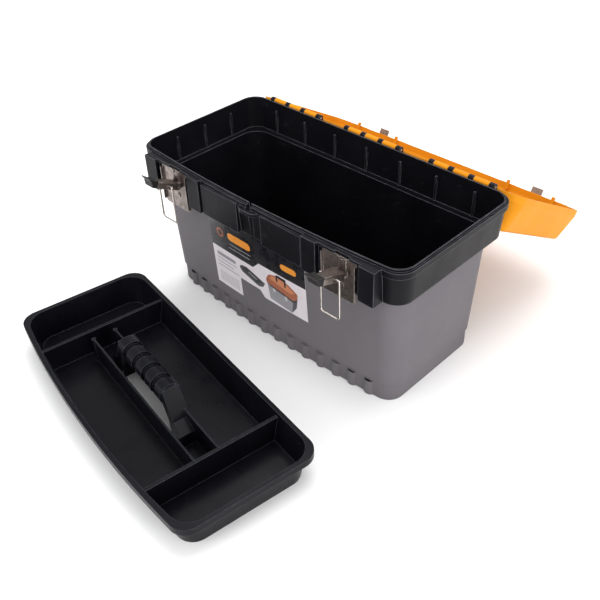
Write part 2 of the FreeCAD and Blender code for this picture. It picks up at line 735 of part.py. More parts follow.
def lid_knuckles():
    """Three knuckles for each hinge pin, with leaves to the lid's back."""
    radius = size("knuckle_radius")
    wide = size("knuckle_pitch") - size("knuckle_width") - 2 * size("knuckle_clearance")
    pieces = []
    for hinge, middle in enumerate(hinge_middles):
        for index in range(3):
            x = middle + (index - 1) * size("knuckle_pitch") - wide / 2
            name = f"{hinge}_{index}"
            pieces.append(rod(f"lid_knuckle_{name}", "X", radius, wide, x, hinge_y, hinge_z))
            pieces.append(box(f"lid_leaf_{name}", x, x + wide, half_depth - size("lid_wall") / 2,
                              hinge_y, hinge_z, hinge_z + radius))
    return pieces


def locating_pegs():
    """Pegs on the lid's front edge that drop inside the lip of the box."""
    pieces = []
    wide = size("peg_width") / 2
    shoulder = flange_top + size("lip_height") + size("peg_gap")
    for name, x in (("inner", size("latch_x") - size("peg_offset")),
                    ("outer", size("latch_x") + size("peg_offset"))):
        lip_inside = -front_at(x + wide, rim_inner_inset) + 2 * size("peg_gap")
        back = lip_inside + size("peg_depth")
        wall = -front_at(x, size("lid_wall") / 2)
        pieces += mirrored_boxes(f"{name}_peg", x - wide, x + wide, lip_inside, back,
                                 lid_rim - size("peg_reach"), lid_rim + size("lid_skirt"))
        pieces += mirrored_boxes(f"{name}_peg_root", x - wide, x + wide, wall, back,
                                 shoulder, lid_rim + size("lid_skirt"))
    return pieces


def keeper_rivet_rods(name, radius, y0, y1):
    rods = []
    for side, _, middle in latches:
        for place in ("low", "high"):
            z = lid_rim + size(f"keeper_rivet_{place}")
            rods.append(rod(f"{name}_{side}_{place}", "Y", radius, y1 - y0, middle, y0, z))
    return rods


keeper_front = keeper_back + metal
keeper_rivet_back = -keeper_back + size("keeper_shank")


def build_lid():
    shell = cut("lid_hollow", fuse("lid_outside", [lid_block(), *lid_front_relief()]), lid_space())
    fittings = [*recess_tub(), *lid_knuckles(), *locating_pegs()]
    whole = fuse("lid_with_fittings", [shell, *fittings])
    half = size("recess_length") / 2
    recess = box("recess", -half, half, recess_front, recess_back,
                 lid_roof - size("recess_depth"), lid_roof + size("lid_wall"))
    span = 2 * size("handle_pin_reach")
    pin_bore = rod("lid_handle_bore", "X", size("handle_pin_radius"), span,
                   -size("handle_pin_reach"), handle_y, handle_z)
    holes = hinge_rods("lid_pin_bore", size("running_fit"))
    holes += keeper_rivet_rods("lid_rivet_bore", size("rivet_radius"), -keeper_front,
                               keeper_rivet_back)
    tools = group("lid_tools", [recess, pin_bore, *holes])
    finish(cut("lid_moulding", whole, tools), "lid_shell", lid_open)


def build_keepers():
    """Hooks on the lid's front that the bails pull down on."""
    bail_top = pivot_z - size("bail_offset") + size("bail_length")
    shelf = bail_top - size("bail_wire") - size("keeper_slack")
    lip_inside = -pivot_front - size("bail_wire") - size("keeper_slack")
    back = -keeper_back
    front = -keeper_front
    low = lid_rim - size("keeper_tongue")
    high = lid_rim + size("keeper_height")
    points = [(back, low), (back, high), (front, high), (front, shelf), (lip_inside, shelf),
              (lip_inside, shelf + size("keeper_lip")),
              (lip_inside - metal, shelf + size("keeper_lip")),
              (lip_inside - metal, shelf - metal), (front, shelf - metal), (front, low)]
    wide = size("keeper_width")
    for side, _, middle in latches:
        blank = drawn_solid(f"keeper_blank_{side}", "YZ_Plane", middle - wide / 2, points, wide)
        bores = keeper_rivet_rods(f"keeper_bore_{side}", size("rivet_radius"), -keeper_front,
                                  -keeper_back)
        keeper = cut(f"keeper_solid_{side}", blank, group(f"keeper_bores_{side}", bores))
        finish(keeper, f"keeper_{side}", lid_open)
    shanks = keeper_rivet_rods("keeper_shank", size("rivet_radius"), -keeper_front,
                               keeper_rivet_back)
    heads = keeper_rivet_rods("keeper_head", size("rivet_head"),
                              -keeper_front - size("rivet_height"), -keeper_front)
    rivets = [fuse(f"keeper_rivet_{index}", pair) for index, pair in enumerate(zip(shanks, heads))]
    finish(group("keeper_rivet_group", rivets), "keeper_rivets", lid_open)


def build_lid_handle():
    """The carrying handle, drawn upright on its pivot, and its two pins."""
    radius = size("handle_bar")
    half = size("handle_length") / 2
    arm = size("handle_arm")
    reach = size("handle_reach")
    grip = rod("grip_bar", "X", radius, 2 * half, -half, handle_y, handle_z + reach)
    pieces = [grip]
    for side, x in (("left", -half), ("right", half - arm)):
        pieces.append(box(f"{side}_arm", x, x + arm, handle_y - radius, handle_y + radius,
                          handle_z, handle_z + reach))
        pieces.append(rod(f"{side}_eye", "X", radius, arm, x, handle_y, handle_z))
    bore = rod("handle_bore", "X", size("handle_pin_radius") + size("running_fit"), 2 * half,
               -half, handle_y, handle_z)
    hang = lid_open.multiply(turned(size("handle_lean").value, handle_y, handle_z))
    finish(cut("handle_solid", fuse("handle_block", pieces), bore), "lid_handle", hang)
    length = size("handle_pin_reach") - half + arm
    pins = [rod("left_handle_pin", "X", size("handle_pin_radius"), length,
                -size("handle_pin_reach"), handle_y, handle_z),
            rod("right_handle_pin", "X", size("handle_pin_radius"), length,
                half - arm, handle_y, handle_z)]
    finish(group("handle_pin_group", pins), "handle_pins", lid_open)


# ---- latches --------------------------------------------------------------------------------

def build_plate(side, x):
    """The pressed plate in a latch bay, with turned edges, ribs and two lugs."""
    shift = size("lever_shift")
    wide = size("plate_width") / 2
    low = plate_top - size("plate_height")
    back = -bay_front
    front = -plate_front
    corner = size("plate_corner")
    blank = box(f"plate_blank_{side}", x - wide, x + wide, front, back, low, plate_top)
    pieces = [round_edges(f"plate_rounded_{side}", blank, corner,
                          lambda edge: along(edge, "y"))]
    lip = size("plate_edge")
    rib = size("plate_rib_width")
    rib_x = size("plate_rib_offset")
    rib_low = plate_top - size("plate_rib_height")
    lug = size("lug_offset")
    radius = size("lug_radius")
    for name, u0, u1, reach, z0, z1 in (
        ("left_edge", -wide, metal - wide, lip, low + corner, plate_top - corner),
        ("right_edge", wide - metal, wide, lip, low + corner, plate_top - corner),
        ("left_rib", shift - rib_x - rib, shift - rib_x, metal, rib_low, plate_top),
        ("right_rib", shift + rib_x, shift + rib_x + rib, metal, rib_low, plate_top),
        ("left_lug", shift - lug - metal, shift - lug, size("pivot_stand"), pivot_z - radius,
         pivot_z + radius),
        ("right_lug", shift + lug, shift + lug + metal, size("pivot_stand"), pivot_z - radius,
         pivot_z + radius),
    ):
        pieces.append(box(f"{name}_{side}", x + u0, x + u1, front - reach, back, z0, z1))
    for name, u in (("left", shift - lug - metal), ("right", shift + lug)):
        pieces.append(rod(f"{name}_lug_end_{side}", "X", radius, metal, x + u, -pivot_front,
                          pivot_z))
    bores = [rod(f"plate_pin_bore_{side}", "X", size("pivot_pin_radius"), 2 * wide, x - wide,
                 -pivot_front, pivot_z)]
    bores += latch_rivet_rods(f"plate_rivet_bore_{side}", size("rivet_radius"), front, back)
    plate = cut(f"plate_{side}", fuse(f"plate_block_{side}", pieces),
                group(f"plate_bores_{side}", bores))
    finish(plate, f"latch_plate_{side}")


def build_plate_rivets():
    shanks = latch_rivet_rods("plate_shank", size("rivet_radius"), -plate_front, rivet_back)
    heads = latch_rivet_rods("plate_head", size("rivet_head"),
                             -plate_front - size("rivet_height"), -plate_front)
    rivets = [fuse(f"plate_rivet_{index}", pair) for index, pair in enumerate(zip(shanks, heads))]
    finish(group("plate_rivet_group", rivets), "plate_rivets")


def lever_outline(heel, shrink):
    """Plan of a lever's channel from its heel to its tip, with its sides moved in by shrink."""
    root_half = size("lever_width") / 2 - shrink
    tip_half = size("lever_tip_width") / 2 - shrink
    tip = shrink - size("lever_length")
    return [(-root_half, heel), (root_half, heel), (tip_half, tip), (-tip_half, tip)]


def build_lever(side, placement):
    """A channel with a tongue, drawn closed with its pivot at the origin."""
    inner_face = size("lever_web") - size("lever_depth")
    eye = size("lever_eye")
    plan = lever_outline(-size("lever_root"), measure(0))
    block = drawn_solid(f"lever_block_{side}", "XZ_Plane", inner_face, plan, size("lever_depth"))
    outer_y = -size("lever_web").value
    rounded = round_edges(f"lever_rounded_{side}", block, size("lever_round"), lambda edge:
                          edge.BoundBox.YMax < outer_y + 0.01 and not along(edge, "x"))
    wide = size("lever_width")
    inset = metal / 2
    ends = rod(f"lever_eyes_{side}", "X", eye, wide - metal, inset - wide / 2, 0, 0)
    hollow = drawn_solid(f"lever_hollow_{side}", "XZ_Plane", inner_face,
                         lever_outline(eye + metal, metal), size("lever_depth") - metal)
    channel = cut(f"lever_channel_{side}", fuse(f"lever_body_{side}", [rounded, ends]), hollow)
    half = size("tongue_width") / 2
    tip = -size("lever_length")
    tongue = box(f"lever_tongue_{side}", -half, half, -size("lever_web"),
                 metal - size("lever_web"), tip - size("tongue_length"), tip + metal / 2)
    bores = [rod(f"lever_pivot_bore_{side}", "X", size("pivot_pin_radius") + size("running_fit"),
                 wide, -wide / 2, 0, 0),
             rod(f"lever_bail_bore_{side}", "X", size("bail_wire") + size("running_fit"),
                 wide, -wide / 2, 0, -size("bail_offset"))]
    lever = cut(f"lever_{side}_solid", fuse(f"lever_whole_{side}", [channel, tongue]),
                group(f"lever_bores_{side}", bores))
    finish(lever, f"latch_lever_{side}", placement)


def build_cap(side, placement):
    """The plastic end of a lever: a wedge with a flared lip, slotted for the tongue."""
    top = -size("lever_length")
    outer = -size("lever_web") - size("cap_wall")
    inner = outer + size("cap_depth")
    tip = top - size("cap_length")
    lip = size("cap_lip")
    points = [(inner, top), (outer, top), (outer, tip + lip), (outer - lip / 2, tip - lip),
              (outer - lip / 2 + size("cap_wall"), tip - lip - size("cap_wall") / 2),
              (outer + lip / 2, tip), (inner, tip + lip)]
    wide = size("lever_tip_width") + size("cap_wall")
    blank = drawn_solid(f"cap_blank_{side}", "YZ_Plane", -wide / 2, points, wide)
    half = size("tongue_width") / 2
    slot = box(f"cap_slot_{side}", -half, half, -size("lever_web"), metal - size("lever_web"),
               top - size("tongue_length"), top)
    finish(cut(f"cap_{side}", blank, slot), f"lever_cap_{side}", placement)


def build_bail(side, placement):
    """A wire loop, drawn hanging with its pivot at the origin."""
    wire = size("bail_wire")
    bend = size("bail_bend")
    half = size("bail_half_width")
    low = -size("bail_length")
    leg = size("bail_leg")
    pieces = [rod(f"bail_foot_{side}", "X", wire, 2 * (half - bend), bend - half, 0, low)]
    flat = FreeCAD.Rotation(FreeCAD.Vector(1, 0, 0), 90)
    for name, x, sign, start in (("left", -half, 1, 180), ("right", half, -1, 270)):
        pieces.append(rod(f"bail_{name}_wire_{side}", "Z", wire, -low - bend, x, 0, low + bend))
        leg_start = x if sign > 0 else x - leg
        pieces.append(rod(f"bail_{name}_leg_{side}", "X", wire, leg, leg_start, 0, 0))
        elbow = doc.addObject("Part::Sphere", f"bail_{name}_elbow_{side}")
        bind(elbow, Radius=wire)
        settle(elbow, x, 0, 0)
        bow = doc.addObject("Part::Torus", f"bail_{name}_bend_{side}")
        bind(bow, Radius1=bend, Radius2=wire, Angle3=90)
        spin = FreeCAD.Rotation(FreeCAD.Vector(0, 0, 1), start)
        bow.Placement.Rotation = flat.multiply(spin)
        settle(bow, x + sign * bend, 0, low + bend)
        pieces += [elbow, bow]
    finish(fuse(f"bail_{side}_solid", pieces), f"bail_{side}", placement)


def build_latch(side, x, middle, lift):
    """One draw latch: plate, lever pin, lever, cap and bail."""
    build_plate(side, x)
    half = size("lever_width") / 2 + size("pin_end")
    pin = rod(f"lever_pin_{side}_rod", "X", size("pivot_pin_radius"), 2 * half, middle - half,
              -pivot_front, pivot_z)
    finish(pin, f"lever_pin_{side}")
    pivot = FreeCAD.Vector(middle.value, -pivot_front.value, pivot_z.value)
    opened = FreeCAD.Rotation(FreeCAD.Vector(1, 0, 0), -90 - lift.value)
    at_pivot = FreeCAD.Placement(pivot, opened)
    build_lever(side, at_pivot)
    build_cap(side, at_pivot)
    bail_pivot = at_pivot.multVec(FreeCAD.Vector(0, 0, -size("bail_offset").value))
    build_bail(side, FreeCAD.Placement(bail_pivot, FreeCAD.Rotation()))


# ---- front label ----------------------------------------------------------------------------

def build_label():
    """A thin sheet on the bowed front wall, cut to its own outline."""
    body = new_body("label_layer")
    plinth = size("plinth_height")
    layer = box_outline(body, "label_level", plinth, wall_foot_inset - size("label_thickness"))
    pad(body, layer, collar_bottom - plinth, size("wall_lean"))
    left = -size("label_left")
    right = size("label_right")
    points = [(left, size("label_top")), (left, size("label_low")),
              (-size("label_panel_end"), size("label_low")),
              (-size("label_panel_end"), size("label_step")),
              (-size("label_slope_start"), size("label_step")),
              (-size("label_slope_end"), size("label_high")),
              (right, size("label_high")), (right, size("label_top"))]
    shape = drawn_solid("label_shape", "XZ_Plane", half_depth / 2, points, half_depth)
    sheet_piece = doc.addObject("Part::MultiCommon", "label_sheet")
    sheet_piece.Shapes = [body, shape]
    finish(cut("label_solid", sheet_piece, doc.getObject("box_outside")), "front_label")


# ---- tray, drawn about its own middle and then set on the floor -------------------------------

tray_half = size("tray_length") / 2
tray_back = size("tray_depth") / 2
tray_top = size("tray_height")


def tray_outline(body, name, level, inset, wall=0):
    back = tray_back - inset
    radius = size("tray_radius") - wall
    return outline(body, name, level, tray_half - inset, back, back, size("tray_bow"), radius)


def tray_layer(name, level, inset, length, lean=None, wall=0):
    """A body of one outline of the tray."""
    body = new_body(name)
    pad(body, tray_outline(body, f"{name}_outline", level, inset, wall), length, lean)
    return body


def tray_shell():
    """Rim, walls and floor."""
    skirt = size("tray_skirt")
    wall = size("tray_wall")
    lean = size("tray_lean")
    flange = size("tray_flange")
    body = new_body("tray_outside")
    foot = flange + lean
    pad(body, tray_outline(body, "tray_foot", 0, foot), tray_top - wall, lean)
    rim = tray_layer("tray_rim", tray_top - skirt, measure(0), skirt)
    groove = cut("tray_groove", tray_layer("groove_outside", tray_top - skirt, wall,
                                           skirt - wall, None, wall),
                 tray_layer("groove_inside", 0, foot, tray_top, lean))
    solid = fuse("tray_block", [body, cut("tray_turned_rim", rim, groove)])
    return cut("tray_open", solid, tray_space())


def tray_space(name="tray_space"):
    """The space inside the tray's walls."""
    wall = size("tray_wall")
    lean = size("tray_lean")
    inset = size("tray_flange") + lean + wall
    return tray_layer(name, size("tray_floor"), inset, tray_top - size("tray_floor"), lean, wall)


def tray_dividers():
    """Cross walls and the two walls of the trough, cut to the inside of the tray."""
    width = size("divider_width")
    middle = -size("trough_middle")
    half = size("trough_width") / 2
    wall = size("tray_wall")
    top = tray_top - size("divider_drop")
    trough_top = tray_top - size("trough_drop")
    x = size("divider_x")
    start = -size("trough_start")
    pieces = mirrored_boxes("divider", x - width / 2, x + width / 2, -tray_back - size("tray_bow"),
                            tray_back, 0, top)
    for name, y in (("front", middle - half), ("back", middle + half - wall)):
        pieces.append(box(f"trough_{name}", start, x, y, y + wall, 0, trough_top))
        pieces.append(rod(f"post_{name}", "Z", size("post_radius"), trough_top, start,
                          y + wall / 2, 0))
    walls = fuse("tray_walls", pieces)
    inside = doc.addObject("Part::MultiCommon", "tray_walls_inside")
    inside.Shapes = [walls, tray_space("divider_space")]
    return inside


def tray_handle():
    """The arched handle: a lobed grip on two sloping legs."""
    middle_x = -size("grip_middle")
    y = size("grip_offset") - size("trough_middle")
    z = size("grip_height")
    half = size("grip_half")
    core = size("grip_radius")
    wide = size("lobe_width")
    pieces = [rod("grip_core", "X", core, 2 * half, middle_x - half, y, z)]
    for index in range(-2, 3):
        x = middle_x + index * size("lobe_pitch") - wide / 2
        pieces.append(rod(f"lobe_{index + 2}", "X", size("lobe_radius"), wide, x, y, z))
    spread = size("leg_spread")
    thick = size("leg_thickness")
    step = size("leg_step")
    toe = size("leg_toe")
    shoulder = size("leg_shoulder")
    for name, sign in (("left", -1), ("right", 1)):
        points = [(middle_x + sign * u, v) for u, v in (
            (half - core, z + core), (half + thick / 2, z + core), (spread, shoulder),
            (spread, shoulder - step), (spread + toe, shoulder - step - toe / 2),
            (spread + toe, measure(0)), (spread - thick, measure(0)),
            (spread - thick, shoulder - thick), (half, z - core))]
        leg = drawn_solid(f"{name}_leg", "XZ_Plane", -y - core, points, 2 * core)
        pieces.append(leg)
    return pieces


def build_tray():
    half = size("slot_half")
    x = -size("grip_middle")
    y = -size("trough_middle")
    reach = size("trough_width") / 2 - size("tray_wall")
    slot = box("tray_slot", x - half, x + half, y - reach, y + reach,
               -size("tray_floor"), 2 * size("tray_floor"))
    open_tray = cut("tray_slotted", tray_shell(), slot)
    whole = fuse("tray_solid", [open_tray, tray_dividers(), *tray_handle()])
    turn = FreeCAD.Rotation(FreeCAD.Vector(0, 0, 1), size("tray_turn").value)
    spot = FreeCAD.Vector(size("tray_x").value, size("tray_y").value, 0)
    finish(whole, "tray", FreeCAD.Placement(spot, turn))


# ---- assembly -------------------------------------------------------------------------------

build_box()
build_lid()
build_keepers()
build_lid_handle()
build_plate_rivets()
build_latch(*latches[0], size("left_lift"))
build_latch(*latches[1], size("right_lift"))
build_label()
build_tray()

doc.recompute()
faults = [item.Name for item in doc.Objects if {"Invalid", "Error"} & set(item.State)]
for item in sub_parts:
    if item.Shape.isNull() or not item.Shape.isValid():
        faults.append(item.Label)
if faults:
    raise SystemExit("failed: " + ", ".join(faults))
for item in sub_parts:
    item.Shape.exportStep(f"parts/{item.Label}.step")
    print(item.Label, len(item.Shape.Solids), round(item.Shape.Volume))
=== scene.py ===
"""A plastic toolbox with its lid open and its lift-out tray beside it.

Finishes of the CAD nodes, the print on the label, and the floor, light and camera.
"""

import math

import bmesh
import bpy
from mathutils import Matrix, Vector
from mathutils.bvhtree import BVHTree


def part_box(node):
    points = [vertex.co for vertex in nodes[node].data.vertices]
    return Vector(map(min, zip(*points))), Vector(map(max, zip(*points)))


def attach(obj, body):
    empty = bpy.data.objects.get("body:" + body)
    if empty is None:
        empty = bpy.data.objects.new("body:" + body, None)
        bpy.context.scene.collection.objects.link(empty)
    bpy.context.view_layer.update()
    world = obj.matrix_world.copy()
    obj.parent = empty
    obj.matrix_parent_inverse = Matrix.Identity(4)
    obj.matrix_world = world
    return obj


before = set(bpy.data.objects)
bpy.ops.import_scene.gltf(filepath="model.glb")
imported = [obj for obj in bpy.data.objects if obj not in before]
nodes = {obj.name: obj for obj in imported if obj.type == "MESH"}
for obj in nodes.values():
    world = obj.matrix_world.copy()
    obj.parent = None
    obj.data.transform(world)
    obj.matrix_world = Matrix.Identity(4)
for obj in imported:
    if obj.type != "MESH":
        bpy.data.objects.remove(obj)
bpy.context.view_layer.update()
MM = 0.001
PLINTH_TOP = 22 * MM        # below this the fluted plinth's ribs take the walls' paler painted reflection
PLINTH_FRONT = -83 * MM     # and only in front of this
COLLAR_RISE = 12 * MM       # underside of the collar above the foot of a latch plate
OUTWARD = 0.006             # how strongly a face must look away from the middle to be outside
STRIP = 4                   # width in millimetres of the strips that bend a print to the wall
PULL_STEP = 0.01            # how far a print's point is drawn in at a time to find the label
PULL_LIMIT = 0.2            # and how far at most


# ---- node helpers ---------------------------------------------------------------------------

class Finish:
    """A node material being built round one Principled shader."""

    def __init__(self, name):
        self.material = bpy.data.materials.new(name)
        self.material.use_nodes = True
        self.tree = self.material.node_tree
        self.shader = self.tree.nodes["Principled BSDF"]
        self.where = self.tree.nodes.new("ShaderNodeTexCoord").outputs["Object"]

    def set(self, **values):
        for name, value in values.items():
            self.shader.inputs[name.replace("_", " ")].default_value = value
        return self

    def link(self, source, target):
        if isinstance(source, (int, float)):
            target.default_value = source
        elif isinstance(source, tuple):
            target.default_value = source
        else:
            self.tree.links.new(source, target)

    def node(self, kind, **settings):
        made = self.tree.nodes.new(kind)
        for name, value in settings.items():
            setattr(made, name, value)
        return made

    def noise(self, scale, detail=3.0, roughness=0.55, stretch=None):
        made = self.node("ShaderNodeTexNoise")
        made.inputs["Scale"].default_value = scale
        made.inputs["Detail"].default_value = detail
        made.inputs["Roughness"].default_value = roughness
        source = self.where
        if stretch is not None:
            mapping = self.node("ShaderNodeMapping")
            mapping.inputs["Scale"].default_value = stretch
            self.link(source, mapping.inputs["Vector"])
            source = mapping.outputs["Vector"]
        self.link(source, made.inputs["Vector"])
        return made.outputs["Fac"]

    def math(self, operation, first, second=0.0):
        made = self.node("ShaderNodeMath", operation=operation)
        self.link(first, made.inputs[0])
        self.link(second, made.inputs[1])
        return made.outputs[0]

    def remap(self, source, low, high, out_low, out_high):
        made = self.node("ShaderNodeMapRange")
        self.link(source, made.inputs["Value"])
        made.inputs["From Min"].default_value = low
        made.inputs["From Max"].default_value = high
        made.inputs["To Min"].default_value = out_low
        made.inputs["To Max"].default_value = out_high
        return made.outputs["Result"]

    def mix(self, share, first, second):
        made = self.node("ShaderNodeMix", data_type="RGBA")
        self.link(share, made.inputs["Factor"])
        colours = [socket for socket in made.inputs if socket.type == "RGBA"]
        self.link(first, colours[0])
        self.link(second, colours[1])
        return [socket for socket in made.outputs if socket.type == "RGBA"][0]

    def edges(self, radius):
        """The normal with edges rounded over radius, and how far each point is turned by it."""
        bevel = self.node("ShaderNodeBevel", samples=4)
        bevel.inputs["Radius"].default_value = radius
        normal = self.node("ShaderNodeNewGeometry").outputs["Normal"]
        dot = self.node("ShaderNodeVectorMath", operation="DOT_PRODUCT")
        self.link(bevel.outputs["Normal"], dot.inputs[0])
        self.link(normal, dot.inputs[1])
        turned = self.remap(dot.outputs["Value"], 0.995, 0.8, 0.0, 1.0)
        return bevel.outputs["Normal"], turned

    def bump(self, height, strength, distance, normal=None):
        made = self.node("ShaderNodeBump")
        made.inputs["Strength"].default_value = strength
        made.inputs["Distance"].default_value = distance
        self.link(height, made.inputs["Height"])
        if normal is not None:
            self.link(normal, made.inputs["Normal"])
        self.link(made.outputs["Normal"], self.shader.inputs["Normal"])
        return made.outputs["Normal"]


def rgb(*values):
    return (*values, 1.0)


def moulded(name, dark, pale, wear_and_highlight_colour, rough, grain=0.12, round_by=0.9, gloss=0.1):
    """Moulded plastic: fine grain, soft blotches, faint scuffs, and paler rounded edges that are
    partly wear and partly a painted highlight.
    """
    made = Finish(name)
    made.set(Specular_IOR_Level=gloss)
    blotch = made.remap(made.noise(16, 4), 0.35, 0.65, 0.0, 1.0)
    scuff = made.remap(made.noise(60, 5, 0.7, (1.0, 9.0, 1.6)), 0.6, 0.78, 0.0, 1.0)
    normal, turned = made.edges(round_by * MM)
    colour = made.mix(blotch, dark, pale)
    colour = made.mix(made.math("MULTIPLY", scuff, 0.08), colour, wear_and_highlight_colour)
    # the pale colour on rounded edges is partly edge wear and partly a painted highlight of light
    # caught along the edges
    wear_and_edge_highlight = made.math("MULTIPLY", turned, made.remap(made.noise(90, 3), 0.3, 0.7, 0.45, 1.0))
    made.link(made.mix(wear_and_edge_highlight, colour, wear_and_highlight_colour), made.shader.inputs["Base Color"])
    satin = made.remap(made.noise(38, 5), 0.3, 0.7, rough - 0.06, rough + 0.06)
    roughness = made.math("ADD", satin, made.math("MULTIPLY", scuff, 0.1))
    made.link(roughness, made.shader.inputs["Roughness"])
    made.bump(made.noise(1500, 2, 0.6), grain, 0.0003, normal)
    return made


def plated(name, dark, pale, rough, brush=(1.0, 1.0, 14.0), stain=0.5, round_by=0.5):
    """Plated steel: drawn grain, cloudy tarnish, and pale edges that are a painted highlight."""
    made = Finish(name)
    made.set(Metallic=1.0)
    cloud = made.remap(made.noise(130, 5, 0.65), 0.35, 0.68, 0.0, 1.0)
    drawn = made.noise(420, 3, 0.6, brush)
    normal, turned = made.edges(round_by * MM)
    share = made.math("MULTIPLY", cloud, stain)
    colour = made.mix(share, pale, dark)
    # the pale colour on the rounded edges is a painted highlight
    colour = made.mix(made.math("MULTIPLY", turned, 0.85), colour, rgb(0.86, 0.80, 0.76))
    made.link(colour, made.shader.inputs["Base Color"])
    roughness = made.math("ADD", made.remap(drawn, 0.3, 0.7, rough - 0.07, rough + 0.07),
                          made.math("MULTIPLY", cloud, 0.12))
    made.link(roughness, made.shader.inputs["Roughness"])
    made.bump(drawn, 0.15, 0.0002, normal)
    return made


def ink(name, colour, speck, rough=0.32):
    """Printed film: a fine dot pattern, a slight unevenness and a satin face."""
    made = Finish(name)
    dots = made.node("ShaderNodeTexVoronoi")
    dots.inputs["Scale"].default_value = 1600
    made.link(made.where, dots.inputs["Vector"])
    share = made.math("MULTIPLY", made.remap(dots.outputs["Distance"], 0.1, 0.5, 1.0, 0.0), 0.3)
    tone = made.mix(made.remap(made.noise(45, 4), 0.35, 0.65, 0.0, 0.25), colour, speck)
    made.link(made.mix(share, tone, speck), made.shader.inputs["Base Color"])
    made.link(made.remap(made.noise(70, 4), 0.3, 0.7, rough - 0.05, rough + 0.1),
              made.shader.inputs["Roughness"])
    made.bump(made.noise(500, 2), 0.06, 0.0002)
    return made


# ---- finishes of the CAD nodes --------------------------------------------------------------

def box_plastic():
    """Smooth black collar and inside, and rougher grained walls under the collar painted paler as
    a painted reflection of the white floor.
    """
    made = moulded("box_moulding", rgb(0.0035, 0.0035, 0.005), rgb(0.006, 0.006, 0.008),
                   rgb(0.24, 0.24, 0.27), 0.36, 0.10)
    split = made.node("ShaderNodeSeparateXYZ")
    made.link(made.where, split.inputs[0])
    facing = made.node("ShaderNodeSeparateXYZ")
    made.link(made.node("ShaderNodeNewGeometry").outputs["Normal"], facing.inputs[0])
    along = made.math("MULTIPLY", split.outputs["X"], facing.outputs["X"])
    across = made.math("MULTIPLY", split.outputs["Y"], facing.outputs["Y"])
    outward = made.math("ADD", made.math("MULTIPLY", along, 0.5), across)
    outside = made.math("GREATER_THAN", outward, OUTWARD)
    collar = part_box("latch_plate_left")[0].z + COLLAR_RISE
    under = made.math("LESS_THAN", split.outputs["Z"], collar)
    walls = made.math("MULTIPLY", outside, under)
    plinth = made.math("LESS_THAN", split.outputs["Z"], PLINTH_TOP)
    forward = made.math("LESS_THAN", split.outputs["Y"], PLINTH_FRONT)
    wall = made.math("MAXIMUM", walls, made.math("MULTIPLY", plinth, forward))
    plain = made.shader.inputs["Base Color"].links[0].from_socket
    # outward walls under the collar and the front plinth get a paler base colour that is painted
    # reflection of the white floor; haze and grain vary it at random
    haze = made.remap(made.noise(9, 3), 0.3, 0.7, 0.0, 1.0)
    reflection_grey = made.mix(haze, rgb(0.105, 0.097, 0.107), rgb(0.128, 0.119, 0.129))
    grain = made.remap(made.noise(900, 2), 0.35, 0.65, 0.0, 0.2)
    reflection_grey = made.mix(grain, reflection_grey, rgb(0.17, 0.16, 0.17))
    made.link(made.mix(wall, plain, reflection_grey), made.shader.inputs["Base Color"])
    smooth = made.shader.inputs["Roughness"].links[0].from_socket
    rough = made.math("ADD", smooth, made.math("MULTIPLY", wall, 0.2))
    made.link(rough, made.shader.inputs["Roughness"])
    return made


# The third colour given to each moulding colours its scuffs and rounded edges: partly wear, partly
# a painted highlight along the edges.
finishes = {
    "box": box_plastic(),
    "tray": moulded("tray_moulding", rgb(0.003, 0.003, 0.005), rgb(0.005, 0.005, 0.007),
                    rgb(0.10, 0.105, 0.125), 0.3, 0.08),
    "lid": moulded("lid_moulding", rgb(0.60, 0.215, 0.006), rgb(0.65, 0.245, 0.008),
                   rgb(0.72, 0.34, 0.04), 0.45, 0.08, gloss=0.08),
    "handle": moulded("handle_moulding", rgb(0.012, 0.012, 0.014), rgb(0.02, 0.02, 0.022),
                      rgb(0.1, 0.1, 0.1), 0.42),
    "cap": moulded("cap_moulding", rgb(0.010, 0.010, 0.011), rgb(0.018, 0.017, 0.017),
                   rgb(0.12, 0.11, 0.10), 0.34),
    "latch": plated("latch_plating", rgb(0.060, 0.046, 0.040), rgb(0.29, 0.245, 0.225), 0.28,
                    stain=0.75),
    "keeper": plated("keeper_plating", rgb(0.10, 0.085, 0.075), rgb(0.34, 0.30, 0.27), 0.36),
    "wire": plated("wire_plating", rgb(0.26, 0.23, 0.21), rgb(0.66, 0.61, 0.57), 0.16,
                   (14.0, 14.0, 1.0), 0.35, 0.2),
    "pin": plated("pin_steel", rgb(0.22, 0.20, 0.19), rgb(0.55, 0.52, 0.50), 0.28,
                  (1.0, 14.0, 14.0), 0.5, 0.3),
    "white_ink": ink("label_film", rgb(0.56, 0.52, 0.545), rgb(0.70, 0.66, 0.685)),
    "black_ink": ink("black_print", rgb(0.004, 0.004, 0.006), rgb(0.012, 0.012, 0.016), 0.26),
    "orange_ink": ink("orange_print", rgb(0.62, 0.215, 0.018), rgb(0.78, 0.33, 0.05)),
    "rust_ink": ink("rust_print", rgb(0.25, 0.065, 0.025), rgb(0.40, 0.15, 0.07)),
    "clay_ink": ink("clay_print", rgb(0.42, 0.145, 0.06), rgb(0.56, 0.25, 0.13)),
    "grey_ink": ink("grey_print", rgb(0.19, 0.185, 0.20), rgb(0.32, 0.31, 0.33)),
    "dark_ink": ink("dark_print", rgb(0.028, 0.027, 0.032), rgb(0.10, 0.095, 0.10)),
    "pale_ink": ink("pale_print", rgb(0.40, 0.385, 0.40), rgb(0.55, 0.53, 0.55)),
}

